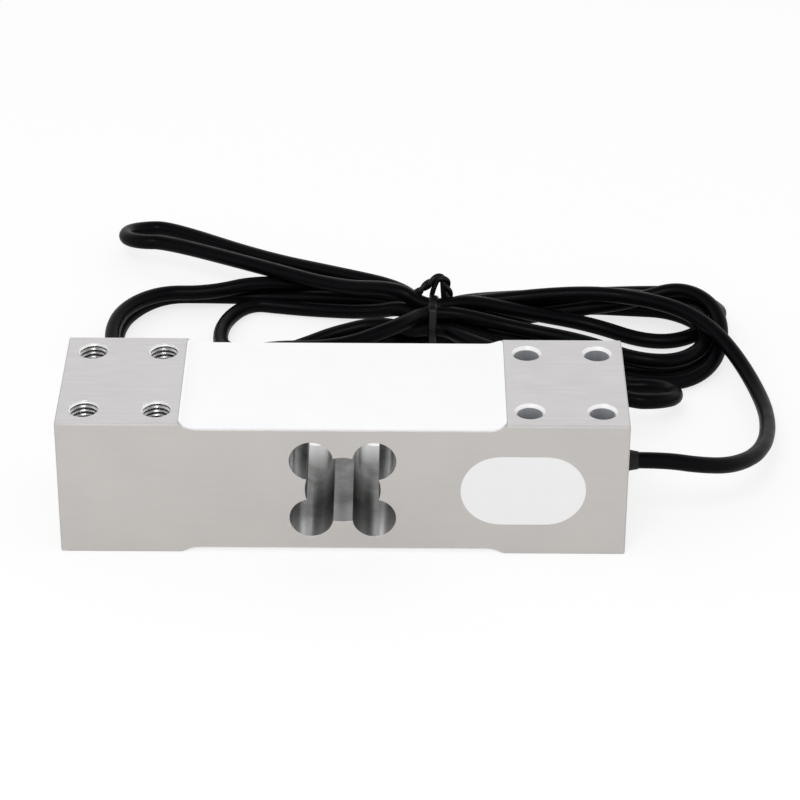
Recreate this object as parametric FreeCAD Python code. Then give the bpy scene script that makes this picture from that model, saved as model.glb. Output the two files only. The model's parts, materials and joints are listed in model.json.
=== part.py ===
import FreeCAD, Part
import math
import os

os.makedirs("parts", exist_ok=True)

# Single point load cell. Millimetres, +Z up. The origin is at the middle of the beam's underside,
# X runs along the beam with the fixed (cable) end at +X, and the wiring pocket opens at -Y.
V = FreeCAD.Vector
X_AXIS = V(1, 0, 0)
Y_AXIS = V(0, 1, 0)
Z_AXIS = V(0, 0, 1)

# ---- beam -------------------------------------------------------------------------------------
BEAM_LENGTH = 150.0
BEAM_WIDTH = 45.0
BEAM_HEIGHT = 40.0
EDGE_CHAMFER = 0.4

# Raised pads at both ends; between them the top and underside are milled down for the gauges.
PAD_LENGTH = 32.0
RECESS_DEPTH = 1.8
RECESS_RAMP_RADIUS = 8.0

# Flexure cavity through the width: a round middle and four lobes that leave the thin flexures.
CAVITY_X = 0.0
CAVITY_RADIUS = 10.0
LOBE_RADIUS = 5.8
LOBE_OFFSET_X = 8.3
LOBE_OFFSET_Z = 8.8

# ---- mounting holes: four at each end ---------------------------------------------------------
HOLE_PITCH_X = 19.0
HOLE_PITCH_Y = 30.0
HOLE_END_DISTANCE = 7.0
THREAD_MAJOR_RADIUS = 4.0
PILOT_RADIUS = 3.4
TAPPED_RIM_WIDTH = 0.12
TAPPED_RIM_DEPTH = 0.12
PILOT_RIM_WIDTH = 0.6
PILOT_RIM_DEPTH = 1.0
LOAD_THREAD_DEPTH = 16.0
FIXED_THREAD_DEPTH = 12.0
DRILL_POINT_ANGLE = 118.0

# ---- wiring pocket in the front face, and the passages that lead to it --------------------------
POCKET_FROM_END = 27.5
POCKET_LENGTH = 33.0
POCKET_HEIGHT = 21.0
POCKET_DEPTH = 3.0
POCKET_SEAL_THICKNESS = 1.0
CABLE_BORE_RADIUS = 2.6
CABLE_BORE_FROM_FRONT = 15.5
CORE_PASSAGE_FROM_END = 16.5
CORE_PASSAGE_RADIUS = 2.5
WIRE_PASSAGE_FROM_CAVITY = 24.0
WIRE_PASSAGE_FROM_FRONT = 10.5
WIRE_PASSAGE_RADIUS = 1.5
SLANT_MOUTH_INSET = 4.5

# ---- gauge seals: a thin white coat over each milled face ---------------------------------------
SEAL_THICKNESS = 0.5
SEAL_END_SETBACK = 0.2
SEAL_SIDE_SETBACK = 0.3
SEAL_CORNER_RADIUS = 2.0

# ---- strain gauges, their terminals and wires ---------------------------------------------------
BACKING_LENGTH = 9.0
BACKING_WIDTH = 7.0
FOIL_THICKNESS = 0.1
GRID_LENGTH = 5.0
GRID_STRAND = 0.4
GRID_STRANDS = 6
GRID_TAB = 1.2
LINK_WIDTH = 0.5
STRIP_LENGTH = 8.0
STRIP_WIDTH = 12.0
STRIP_THICKNESS = 0.3
STRIP_RIM = 2.0
WIRE_BUNDLE_RADIUS = 0.5

# ---- terminal board -----------------------------------------------------------------------------
BOARD_LENGTH = 18.0
BOARD_HEIGHT = 15.0
BOARD_THICKNESS = 0.8
BOARD_CORNER_RADIUS = 1.0
RESISTOR_LENGTH = 3.2
RESISTOR_WIDTH = 1.6
RESISTOR_HEIGHT = 0.6
RESISTOR_PITCH = 5.5
RESISTOR_COUNT = 3

# ---- cable --------------------------------------------------------------------------------------
CABLE_DIAMETER = 4.5
CORE_RADIUS = 0.45
CORE_LANDING = 3.0
BUSH_BARREL_LENGTH = 12.0
BUSH_SHOULDER_RADIUS = 2.9
BUSH_SHOULDER_LENGTH = 1.0
BUSH_LENGTH_OUTSIDE = 3.7
BUSH_NOSE_RADIUS = 2.4

# The lead from the bush to the hank. The first point is the bush's outer face and the last is the
# hank's landing face; between them the lead falls to the bench, turns back and climbs the hank.
LEAD_REST = [
    (86.2, -7.0, 20.0),
    (95.2, -5.8, 17.8),
    (104.0, -1.5, 14.9),
    (111.4, 7.4, 12.0),
    (115.9, 19.0, 9.3),
    (118.1, 31.4, 7.0),
    (118.6, 44.4, 5.2),
    (116.7, 57.6, 5.2),
    (112.6, 69.4, 7.6),
    (107.0, 78.8, 10.6),
    (100.1, 86.4, 12.2),
    (91.8, 92.2, 12.4),
    (82.6, 96.4, 12.0),
    (72.6, 98.3, 12.0),
]
RUN_SHARE = 0.45

# The hank: a bow of loops tied at the middle and laid on the bench behind the beam.
TIE_X = 25.0
NECK_LENGTH = 7.0
NECK_MARGIN = 2.3
NECK_CORNERS = [(105.5, 3.2), (92.1, 11.0), (87.5, 11.0), (85.2, 7.1), (87.1, 3.2)]
TIE_THICKNESS = 0.8
TIE_WIDTH = 2.2
TIE_TAIL_RADIUS = 0.7
TIE_TAIL = [(0.0, 93.5, 13.0), (2.2, 94.5, 17.6), (-5.2, 95.0, 14.6)]
LANDING_HALF_WIDTH = 2.9
LANDING_MARGIN = 0.3

# Free end: the cores and the shield drain, stripped and tinned, laid on the bench.
END_WIRE_RADIUS = 0.6
END_WIRE_TIP_RADIUS = 0.35
END_WIRE_TIP_LENGTH = 6.0
END_WIRE_RING = 1.35
END_WIRE_RUN = 9.0
END_WIRE_FAN = 0.5
END_WIRE_NAMES = ("red", "black", "green", "white", "shield")
END_WIRE_COUNT = len(END_WIRE_NAMES)
TAIL_ROOT = (-18.0, 65.5, 2.25)
TAIL_END = (-36.0, 56.5, 2.25)

# Where each core lies: across the bores (along X, then Y), up or down in them, and on the board.
CORE_PLACES = {
    "red": (-0.9, 1.75, 3.2),
    "black": (1.1, 0.6, 1.0),
    "green": (1.1, -0.6, -1.0),
    "white": (-0.9, -1.75, -3.2),
}

BEAM_HALF = BEAM_LENGTH / 2
POCKET_X = BEAM_HALF - POCKET_FROM_END
CORE_PASSAGE_X = BEAM_HALF - CORE_PASSAGE_FROM_END
WIRE_PASSAGE_X = CAVITY_X + WIRE_PASSAGE_FROM_CAVITY
FRONT_Y = -BEAM_WIDTH / 2
MIDDLE_Z = BEAM_HEIGHT / 2
FLOOR_TOP = BEAM_HEIGHT - RECESS_DEPTH
CABLE_Y = FRONT_Y + CABLE_BORE_FROM_FRONT
WIRE_Y = FRONT_Y + WIRE_PASSAGE_FROM_FRONT
POCKET_FLOOR_Y = FRONT_Y + POCKET_DEPTH
BUSH_FACE_X = BEAM_HALF + BUSH_LENGTH_OUTSIDE
LEAD_EXIT = (BUSH_FACE_X, CABLE_Y, MIDDLE_Z)


def write(shape, name):
    """Write one node's STEP file."""
    shape.exportStep(f"parts/{name}.step")


def box(x0, x1, y0, y1, z0, z1):
    """A box between two corners."""
    return Part.makeBox(x1 - x0, y1 - y0, z1 - z0, V(x0, y0, z0))


def mirrored_below(shape):
    """The same piece at the beam's underside."""
    return shape.mirror(V(0, 0, MIDDLE_Z), Z_AXIS)


def corner_wire(points, radii, closed):
    """Straight runs through the points, with a tangent arc of the given radius at each corner."""
    count = len(points)
    ends = []
    for i, point in enumerate(points):
        if not closed and i in (0, count - 1):
            ends.append((point, point, None))
            continue
        before = (points[i - 1] - point).normalize()
        after = (points[(i + 1) % count] - point).normalize()
        half_turn = (math.pi - before.getAngle(after)) / 2
        reach = radii[i] * math.tan(half_turn)
        bisector = (before + after).normalize()
        middle = point + bisector * (radii[i] / math.cos(half_turn) - radii[i])
        ends.append((point + before * reach, point + after * reach, middle))
    edges = []
    for i, (start, end, middle) in enumerate(ends):
        if middle is not None:
            edges.append(Part.Arc(start, middle, end).toShape())
        if closed or i < count - 1:
            following = ends[(i + 1) % count][0]
            if (following - end).Length > 1e-6:
                edges.append(Part.LineSegment(end, following).toShape())
    return Part.Wire(edges)


def tube(points, radius, radii):
    """A round bar along straight runs and tangent arcs."""
    path = corner_wire(points, radii, closed=False)
    direction = (points[1] - points[0]).normalize()
    section = Part.Wire([Part.makeCircle(radius, points[0], direction)])
    return path, path.makePipeShell([section], True, False)


def mitred_tube(points, radius):
    """A thin round wire with sharp corners."""
    section = Part.Wire([Part.makeCircle(radius, points[0], points[1] - points[0])])
    return Part.makePolygon(points).makePipeShell([section], True, False, 1)


def run_radii(points):
    """The largest arc at each corner that leaves both of its runs a straight piece."""
    radii = [0.0]
    for i in range(1, len(points) - 1):
        before = points[i - 1] - points[i]
        after = points[i + 1] - points[i]
        half_turn = (math.pi - before.getAngle(after)) / 2
        radii.append(RUN_SHARE * min(before.Length, after.Length) / math.tan(half_turn))
    return radii + [0.0]


def rounded_block(x0, x1, low, high, radius, start, depth, along):
    """A block with rounded corners: in XZ and extruded along Y, or in XY and extruded along Z."""
    if along == Y_AXIS:
        corners = [V(x0, start, low), V(x1, start, low), V(x1, start, high), V(x0, start, high)]
    else:
        corners = [V(x0, low, start), V(x1, low, start), V(x1, high, start), V(x0, high, start)]
    return Part.Face(corner_wire(corners, [radius] * 4, closed=True)).extrude(along * depth)


# ---- beam -------------------------------------------------------------------------------------
def recess_cutter(raise_by):
    """The milled recess above the gauges, with concave ramps; raised, it bounds the seal's top."""
    run = math.sqrt(2 * RECESS_RAMP_RADIUS * RECESS_DEPTH - RECESS_DEPTH ** 2)
    flat_end = BEAM_HALF - PAD_LENGTH - run
    radius = RECESS_RAMP_RADIUS - raise_by
    centre_z = FLOOR_TOP + RECESS_RAMP_RADIUS
    rim_angle = math.acos((centre_z - BEAM_HEIGHT) / radius)
    above = BEAM_HEIGHT + 1.0

    def on_ramp(side, angle):
        x = side * (flat_end + radius * math.sin(angle))
        return V(x, FRONT_Y - 1.0, centre_z - radius * math.cos(angle))

    right = Part.Arc(on_ramp(1, 0.0), on_ramp(1, rim_angle / 2), on_ramp(1, rim_angle)).toShape()
    left = Part.Arc(on_ramp(-1, rim_angle), on_ramp(-1, rim_angle / 2), on_ramp(-1, 0.0)).toShape()
    floor = Part.LineSegment(on_ramp(-1, 0.0), on_ramp(1, 0.0)).toShape()
    rim = on_ramp(1, rim_angle)
    top_right = V(rim.x, rim.y, above)
    top_left = V(-rim.x, rim.y, above)
    sides = Part.makePolygon([rim, top_right, top_left, V(-rim.x, rim.y, rim.z)])
    outline = Part.Wire([left, floor, right] + sides.Edges)
    return Part.Face(outline).extrude(V(0, BEAM_WIDTH + 2.0, 0))


def flexure_cavity():
    """The five overlapping bores that leave the four flexures."""
    start_y = FRONT_Y - 1.0
    length = BEAM_WIDTH + 2.0
    middle = Part.makeCylinder(CAVITY_RADIUS, length, V(CAVITY_X, start_y, MIDDLE_Z), Y_AXIS)
    lobes = []
    for side in (-1, 1):
        for level in (-1, 1):
            x = CAVITY_X + side * LOBE_OFFSET_X
            z = MIDDLE_Z + level * LOBE_OFFSET_Z
            lobes.append(Part.makeCylinder(LOBE_RADIUS, length, V(x, start_y, z), Y_AXIS))
    return middle.multiFuse(lobes).removeSplitter()


def pattern_places(side):
    """The four hole centres at one end: side -1 is the load end, +1 the fixed end."""
    outer = side * (BEAM_HALF - HOLE_END_DISTANCE)
    inner = outer - side * HOLE_PITCH_X
    rows = (-HOLE_PITCH_Y / 2, HOLE_PITCH_Y / 2)
    return [(x, y) for x in (outer, inner) for y in rows]


def countersink(x, y, z, radius, width, depth, inward):
    """A cone at a hole's mouth, begun above the face; inward is the Z direction into the metal."""
    return Part.makeCone(radius + 2 * width, radius, 2 * depth, V(x, y, z - inward * depth),
                         V(0, 0, inward))


def load_hole(x, y):
    """A blind tapped hole from the top, with its pilot drill's point below the thread."""
    thread = Part.makeCylinder(THREAD_MAJOR_RADIUS, LOAD_THREAD_DEPTH, V(x, y, BEAM_HEIGHT), -Z_AXIS)
    pilot_end = BEAM_HEIGHT - LOAD_THREAD_DEPTH - THREAD_MAJOR_RADIUS
    pilot = Part.makeCylinder(PILOT_RADIUS, BEAM_HEIGHT - pilot_end, V(x, y, BEAM_HEIGHT), -Z_AXIS)
    point_depth = PILOT_RADIUS / math.tan(math.radians(DRILL_POINT_ANGLE / 2))
    point = Part.makeCone(PILOT_RADIUS, 0.0, point_depth, V(x, y, pilot_end), -Z_AXIS)
    rim = countersink(x, y, BEAM_HEIGHT, THREAD_MAJOR_RADIUS, TAPPED_RIM_WIDTH, TAPPED_RIM_DEPTH, -1)
    return thread.multiFuse([pilot, point, rim])


def fixed_hole(x, y):
    """A through hole tapped from the underside; its plain pilot bore shows at the top."""
    pilot = Part.makeCylinder(PILOT_RADIUS, BEAM_HEIGHT + 2.0, V(x, y, -1.0))
    thread = Part.makeCylinder(THREAD_MAJOR_RADIUS, FIXED_THREAD_DEPTH + 1.0, V(x, y, -1.0))
    top_rim = countersink(x, y, BEAM_HEIGHT, PILOT_RADIUS, PILOT_RIM_WIDTH, PILOT_RIM_DEPTH, -1)
    low_rim = countersink(x, y, 0.0, THREAD_MAJOR_RADIUS, TAPPED_RIM_WIDTH, TAPPED_RIM_DEPTH, 1)
    return pilot.multiFuse([thread, top_rim, low_rim])


def slant_mouth():
    """Where the slanted wire passage opens in the pocket, on the line the wires follow."""
    x = POCKET_X - POCKET_LENGTH / 2 + SLANT_MOUTH_INSET
    return V(x, board_face_y() - WIRE_BUNDLE_RADIUS, MIDDLE_Z)


def passages():
    """The cable bore, the cross bore for its cores, and the gauge wires' bores."""
    cable = Part.makeCylinder(CABLE_BORE_RADIUS, BEAM_HALF + 1.0 - CORE_PASSAGE_X,
                              V(CORE_PASSAGE_X, CABLE_Y, MIDDLE_Z), X_AXIS)
    cross_length = CABLE_Y - POCKET_FLOOR_Y + CABLE_BORE_RADIUS + 1.0
    cross = Part.makeCylinder(CORE_PASSAGE_RADIUS, cross_length,
                              V(CORE_PASSAGE_X, POCKET_FLOOR_Y - 1.0, MIDDLE_Z), Y_AXIS)
    upright = Part.makeCylinder(WIRE_PASSAGE_RADIUS, BEAM_HEIGHT, V(WIRE_PASSAGE_X, WIRE_Y, 0.0))
    corner = V(WIRE_PASSAGE_X, WIRE_Y, MIDDLE_Z)
    run = slant_mouth() - corner
    slant = Part.makeCylinder(WIRE_PASSAGE_RADIUS, run.Length, corner, run)
    return cable.fuse(cross), upright.fuse(slant)


def pocket_block(margin, start, depth):
    """The wiring pocket's outline, drawn in by a margin."""
    half = POCKET_LENGTH / 2 - margin
    rise = POCKET_HEIGHT / 2 - margin
    return rounded_block(POCKET_X - half, POCKET_X + half, MIDDLE_Z - rise, MIDDLE_Z + rise,
                         rise, start, depth, Y_AXIS)


def load_beam():
    """The machined aluminium beam, one piece."""
    body = box(-BEAM_HALF, BEAM_HALF, FRONT_Y, -FRONT_Y, 0.0, BEAM_HEIGHT)
    body = body.makeChamfer(EDGE_CHAMFER, body.Edges)
    recess = recess_cutter(0.0)
    cuts = [recess, mirrored_below(recess), flexure_cavity()]
    cuts += [load_hole(x, y) for x, y in pattern_places(-1)]
    cuts += [fixed_hole(x, y) for x, y in pattern_places(1)]
    cuts.append(pocket_block(0.0, FRONT_Y - 1.0, POCKET_DEPTH + 1.0))
    cuts.extend(passages())
    for cut in cuts:
        body = body.cut(cut)
    return body


# ---- gauges and their seal ----------------------------------------------------------------------
def gauge_x(side):
    """Gauges sit over the lobes, where the flexures are thinnest."""
    return CAVITY_X + side * LOBE_OFFSET_X


def gauge_backing(side):
    """The polyimide carrier of one strain gauge."""
    x = gauge_x(side)
    return box(x - BACKING_LENGTH / 2, x + BACKING_LENGTH / 2, -BACKING_WIDTH / 2, BACKING_WIDTH / 2,
               FLOOR_TOP, FLOOR_TOP + FOIL_THICKNESS)


def grid_pitch():
    """Foil strands are as wide as the gaps between them."""
    return 2 * GRID_STRAND


def grid_first_y():
    """The middle of the outermost strand."""
    return -grid_pitch() * (GRID_STRANDS - 1) / 2


def gauge_grid(side):
    """The etched foil: strands along the beam, joined in a zigzag, with a solder tab at both ends."""
    low = FLOOR_TOP + FOIL_THICKNESS
    high = low + FOIL_THICKNESS
    x0 = gauge_x(side) - GRID_LENGTH / 2
    x1 = gauge_x(side) + GRID_LENGTH / 2
    half = GRID_STRAND / 2
    pieces = []
    for i in range(GRID_STRANDS):
        y = grid_first_y() + i * grid_pitch()
        pieces.append(box(x0, x1, y - half, y + half, low, high))
        if i < GRID_STRANDS - 1:
            turn_x = x0 if i % 2 == 0 else x1 - GRID_STRAND
            pieces.append(box(turn_x, turn_x + GRID_STRAND, y + half, y + grid_pitch() - half, low, high))
    for end in (-1, 1):
        y = end * (-grid_first_y() + half)
        inner = y - end * GRID_TAB
        pieces.append(box(x1, x1 + GRID_TAB, min(y, inner), max(y, inner), low, high))
    return pieces[0].multiFuse(pieces[1:]).removeSplitter()


def strip_span():
    """The terminal strip's lengthwise extent: it reaches past the wire passage by its rim."""
    high = WIRE_PASSAGE_X + STRIP_RIM
    return high - STRIP_LENGTH, high


def terminal_strip():
    """A thin solder strip over the wire passage's mouth, drilled for the wires."""
    x0, x1 = strip_span()
    plate = box(x0, x1, -STRIP_WIDTH / 2, STRIP_WIDTH / 2, FLOOR_TOP, FLOOR_TOP + STRIP_THICKNESS)
    plate = plate.fuse(box(x0, x1, WIRE_Y - STRIP_RIM, -STRIP_WIDTH / 2, FLOOR_TOP,
                           FLOOR_TOP + STRIP_THICKNESS)).removeSplitter()
    return plate.cut(Part.makeCylinder(WIRE_BUNDLE_RADIUS, BEAM_HEIGHT, V(WIRE_PASSAGE_X, WIRE_Y, 0.0)))


def gauge_links():
    """Four copper ribbons from the grids' tabs to the terminal strip."""
    low = FLOOR_TOP + FOIL_THICKNESS
    high = low + FOIL_THICKNESS
    strip_x = strip_span()[0]
    tab_y = -grid_first_y() + GRID_STRAND / 2 - GRID_TAB / 2
    detour_y = BACKING_WIDTH / 2 + LINK_WIDTH
    half = LINK_WIDTH / 2
    ribbons = []
    for end in (-1, 1):
        near_x = gauge_x(1) + GRID_LENGTH / 2 + GRID_TAB
        ribbons.append(box(near_x, strip_x, end * tab_y - half, end * tab_y + half, low, high))
        far_x = gauge_x(-1) + GRID_LENGTH / 2 + GRID_TAB
        side_low, side_high = sorted((end * (tab_y - half), end * (detour_y + half)))
        drop = box(far_x, far_x + LINK_WIDTH, side_low, side_high, low, high)
        run_low, run_high = sorted((end * (detour_y - half), end * (detour_y + half)))
        ribbons.append(drop.fuse(box(far_x, strip_x, run_low, run_high, low, high)).removeSplitter())
    return Part.makeCompound(ribbons)


def gauge_seal(inside):
    """The white coat over the gauges: it follows the recess floor and climbs both ramps."""
    layer = recess_cutter(0.0).cut(recess_cutter(SEAL_THICKNESS))
    reach = BEAM_HALF - PAD_LENGTH - SEAL_END_SETBACK
    side = -FRONT_Y - SEAL_SIDE_SETBACK
    plan = rounded_block(-reach, reach, -side, side, SEAL_CORNER_RADIUS, 0.0, BEAM_HEIGHT, Z_AXIS)
    return layer.common(plan).cut(inside)


# ---- wiring pocket ------------------------------------------------------------------------------
def board_face_y():
    """The terminal board's outer face."""
    return POCKET_FLOOR_Y - BOARD_THICKNESS


def board_span():
    """The board's lengthwise extent: its right end leaves the cross bore free."""
    high = CORE_PASSAGE_X - CORE_PASSAGE_RADIUS - 0.5
    return high - BOARD_LENGTH, high


def terminal_board():
    """The small circuit board on the pocket's floor."""
    x0, x1 = board_span()
    return rounded_block(x0, x1, MIDDLE_Z - BOARD_HEIGHT / 2, MIDDLE_Z + BOARD_HEIGHT / 2,
                         BOARD_CORNER_RADIUS, board_face_y(), BOARD_THICKNESS, Y_AXIS)


def trim_resistors():
    """The chip resistors that trim the bridge, in a row on the board."""
    x0, x1 = board_span()
    middle = (x0 + x1) / 2
    chips = []
    for i in range(RESISTOR_COUNT):
        z = MIDDLE_Z + (i - (RESISTOR_COUNT - 1) / 2) * RESISTOR_PITCH
        chips.append(box(middle - RESISTOR_LENGTH / 2, middle + RESISTOR_LENGTH / 2,
                         board_face_y() - RESISTOR_HEIGHT, board_face_y(),
                         z - RESISTOR_WIDTH / 2, z + RESISTOR_WIDTH / 2))
    return Part.makeCompound(chips)


def gauge_wires(level):
    """One bundle from a terminal strip, through the passages, to the board; level +1 is the top."""
    step = level * 1.2 * WIRE_BUNDLE_RADIUS
    start_z = MIDDLE_Z + level * (FLOOR_TOP + STRIP_THICKNESS - MIDDLE_Z)
    mouth = slant_mouth()
    points = [
        V(WIRE_PASSAGE_X, WIRE_Y, start_z),
        V(WIRE_PASSAGE_X, WIRE_Y, MIDDLE_Z + step),
        V(mouth.x, mouth.y, MIDDLE_Z + step),
        V(board_span()[0] + 2.0, mouth.y, MIDDLE_Z + step),
    ]
    return mitred_tube(points, WIRE_BUNDLE_RADIUS)


def cable_core(across, level, board_level):
    """One insulated core from the board, through the cross bore, to the bush's inner face."""
    lay_y = board_face_y() - CORE_RADIUS
    bore_y = CABLE_Y - across
    turn_x = CORE_PASSAGE_X + across
    points = [
        V(board_span()[1] - CORE_LANDING, lay_y, MIDDLE_Z + board_level),
        V(turn_x, lay_y, MIDDLE_Z + level),
        V(turn_x, bore_y, MIDDLE_Z + level),
        V(BEAM_HALF - BUSH_BARREL_LENGTH, bore_y, MIDDLE_Z + level),
    ]
    return mitred_tube(points, CORE_RADIUS)


def pocket_seal():
    """The white potting plug that closes the pocket, flush with the front face."""
    return pocket_block(0.0, FRONT_Y, POCKET_SEAL_THICKNESS)


# ---- cable --------------------------------------------------------------------------------------
def cable_bush():
    """The rubber strain relief: a barrel in the cable bore and a tapered nose outside."""
    shoulder_x = BEAM_HALF + BUSH_SHOULDER_LENGTH
    profile = Part.makePolygon([
        V(BEAM_HALF - BUSH_BARREL_LENGTH, CABLE_Y, MIDDLE_Z),
        V(BEAM_HALF - BUSH_BARREL_LENGTH, CABLE_Y, MIDDLE_Z + CABLE_BORE_RADIUS),
        V(BEAM_HALF, CABLE_Y, MIDDLE_Z + CABLE_BORE_RADIUS),
        V(BEAM_HALF, CABLE_Y, MIDDLE_Z + BUSH_SHOULDER_RADIUS),
        V(shoulder_x, CABLE_Y, MIDDLE_Z + BUSH_SHOULDER_RADIUS),
        V(BUSH_FACE_X, CABLE_Y, MIDDLE_Z + BUSH_NOSE_RADIUS),
        V(BUSH_FACE_X, CABLE_Y, MIDDLE_Z),
        V(BEAM_HALF - BUSH_BARREL_LENGTH, CABLE_Y, MIDDLE_Z),
    ])
    return Part.Face(profile).revolve(V(0, CABLE_Y, MIDDLE_Z), X_AXIS, 360)


def lead_points():
    """The lead's route as vectors, from the bush's face to the hank's landing face."""
    return [V(*LEAD_EXIT)] + [V(*point) for point in LEAD_REST]


def cable_lead():
    """The loose lead; its arc radii and volume are printed."""
    points = lead_points()
    radii = run_radii(points)
    path, solid = tube(points, CABLE_DIAMETER / 2, radii)
    expected = math.pi * (CABLE_DIAMETER / 2) ** 2 * path.Length
    print("cable_lead radii", [round(radius, 1) for radius in radii[1:-1]])
    print(f"cable_lead length {path.Length:.1f} volume {solid.Volume:.1f} section x length {expected:.1f}")
    return solid


def neck_section(x, margin):
    """The tied middle's section: a ring of corners wrapped by a band with rounded corners."""
    corners = [V(x, y, z) for y, z in NECK_CORNERS]
    count = len(corners)
    grown = []
    for i, corner in enumerate(corners):
        arriving = (corner - corners[i - 1]).normalize()
        leaving = (corners[(i + 1) % count] - corner).normalize()
        first = V(0, arriving.z, -arriving.y)
        second = V(0, leaving.z, -leaving.y)
        grown.append(corner + (first + second) * (margin / (1 + first.dot(second))))
    return Part.Face(corner_wire(grown, [margin] * count, closed=True))


def mound(outline, radii, crest):
    """A flat-bottomed heap: a plan outline whose height follows a crest line along X."""
    plan = corner_wire([V(x, y, 0) for x, y in outline], radii, closed=True)
    slab = Part.Face(plan).extrude(V(0, 0, BEAM_HEIGHT))
    far = 200.0
    side = [V(crest[0][0], -far, 0)] + [V(x, -far, z) for x, z in crest] + [V(crest[-1][0], -far, 0)]
    profile = Part.Face(Part.makePolygon(side + side[:1])).extrude(V(0, 2 * far, 0))
    return slab.common(profile)


def cable_hank():
    """The outer shape of the tied bow of loops, with the sheath's cut end beside it."""
    left_x = TIE_X - NECK_LENGTH / 2
    right_x = TIE_X + NECK_LENGTH / 2
    landing_x, landing_y, landing_z = LEAD_REST[-1]
    ridge_top = landing_z + CABLE_DIAMETER / 2 + LANDING_MARGIN
    neck = neck_section(left_x, NECK_MARGIN).extrude(V(NECK_LENGTH, 0, 0))
    raised_loop = mound(
        [(left_x, 104.0), (-50.0, 147.5), (-73.5, 153.5), (-73.5, 134.5), (left_x, 88.5)],
        [0.5, 30.0, 6.0, 6.0, 0.5],
        [(-74.0, 10.0), (-55.0, 15.0), (-20.0, 15.4), (left_x, 13.3)],
    )
    left_loops = mound(
        [(left_x, 106.5), (0.0, 115.5), (-22.0, 119.0), (-48.0, 119.0), (-67.0, 109.5), (-73.0, 90.0),
         (-67.0, 69.0), (-45.0, 66.0), (-22.0, 60.5), (left_x, 84.0)],
        [0.5, 30.0, 30.0, 20.0, 14.0, 20.0, 14.0, 20.0, 14.0, 0.5],
        [(-74.0, 5.2), (-40.0, 6.6), (0.0, 9.0), (left_x, 13.3)],
    )
    right_loops = mound(
        [(right_x, 84.0), (45.0, 63.5), (66.0, 49.5), (82.0, 43.5), (96.0, 45.5), (100.0, 60.0),
         (110.0, 79.0), (112.0, 98.0), (107.0, 113.5), (90.0, 119.0), (50.0, 116.5), (right_x, 107.0)],
        [0.5, 30.0, 20.0, 14.0, 6.0, 14.0, 20.0, 14.0, 12.0, 20.0, 30.0, 0.5],
        [(right_x, 13.3), (50.0, 9.4), (91.5, 9.2), (100.0, 8.3), (106.0, 6.0), (113.0, 4.9)],
    )
    arriving = (V(*LEAD_REST[-1]) - V(*LEAD_REST[-2])).normalize()
    across = V(-arriving.y, arriving.x, 0) * LANDING_HALF_WIDTH
    ridge = mound(
        [(right_x, NECK_CORNERS[1][0] + across.x - LANDING_HALF_WIDTH),
         (landing_x + across.x, landing_y + across.y),
         (landing_x - across.x, landing_y - across.y),
         (right_x, NECK_CORNERS[0][0] - LANDING_HALF_WIDTH)],
        [0.5] * 4,
        [(right_x, 13.3), (landing_x - 12.0, ridge_top), (landing_x + 2.0, ridge_top)],
    )
    tail = Part.makeCylinder(CABLE_DIAMETER / 2, tail_run().Length, V(*TAIL_ROOT), tail_run())
    return neck.multiFuse([raised_loop, left_loops, right_loops, ridge, tail]).removeSplitter()


def tail_run():
    """From inside the hank to the sheath's cut end."""
    return V(*TAIL_END) - V(*TAIL_ROOT)


def cable_tie():
    """The twist tie: a band round the hank's neck, with its twisted ends bent over on top."""
    start_x = TIE_X - TIE_WIDTH / 2
    outer = neck_section(start_x, NECK_MARGIN + TIE_THICKNESS).extrude(V(TIE_WIDTH, 0, 0))
    inner = neck_section(start_x, NECK_MARGIN).extrude(V(TIE_WIDTH, 0, 0))
    ends = [V(TIE_X + x, y, z) for x, y, z in TIE_TAIL]
    twist = mitred_tube(ends, TIE_TAIL_RADIUS)
    return outer.cut(inner).fuse(twist).cut(inner).removeSplitter()


def end_wire(index):
    """One stripped core at the cable's free end: insulation, then a thinner tinned tip."""
    forward = tail_run().normalize()
    across = V(-forward.y, forward.x, 0)
    angle = 2 * math.pi * index / END_WIRE_COUNT + math.pi / 2
    start = V(*TAIL_END) + (across * math.cos(angle) + Z_AXIS * math.sin(angle)) * END_WIRE_RING
    fan = END_WIRE_FAN * math.cos(angle)
    heading = forward * math.cos(fan) + across * math.sin(fan)
    straight_on = start + forward * END_WIRE_RUN / 2
    landed = straight_on + heading * END_WIRE_RUN
    landed.z = END_WIRE_RADIUS
    last = landed + heading * END_WIRE_RUN * (1.0 + 0.2 * math.sin(2 * angle))
    points = [start, straight_on, landed, last]
    insulation = mitred_tube(points, END_WIRE_RADIUS)
    tip = Part.makeCylinder(END_WIRE_TIP_RADIUS, END_WIRE_TIP_LENGTH, last, (last - landed).normalize())
    return insulation.fuse(tip).removeSplitter()


def main():
    """Build every node."""
    top_pieces = {
        "gauge_backing_top_load": gauge_backing(-1),
        "gauge_backing_top_fixed": gauge_backing(1),
        "gauge_grid_top_load": gauge_grid(-1),
        "gauge_grid_top_fixed": gauge_grid(1),
        "terminal_strip_top": terminal_strip(),
        "gauge_links_top": gauge_links(),
    }
    seal = gauge_seal(list(top_pieces.values()) + [gauge_wires(1)])
    write(load_beam(), "load_beam")
    write(seal, "top_gauge_seal")
    write(mirrored_below(seal), "bottom_gauge_seal")
    for name, piece in top_pieces.items():
        write(piece, name)
        write(mirrored_below(piece), name.replace("top", "bottom"))
    write(gauge_wires(1), "gauge_wires_top")
    write(gauge_wires(-1), "gauge_wires_bottom")
    write(pocket_seal(), "pocket_seal")
    write(terminal_board(), "terminal_board")
    write(trim_resistors(), "trim_resistors")
    for name, place in CORE_PLACES.items():
        write(cable_core(*place), f"core_{name}")
    write(cable_bush(), "cable_bush")
    write(cable_lead(), "cable_lead")
    write(cable_hank(), "cable_hank")
    write(cable_tie(), "cable_tie")
    for index, name in enumerate(END_WIRE_NAMES):
        write(end_wire(index), f"end_wire_{name}")


main()
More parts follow.
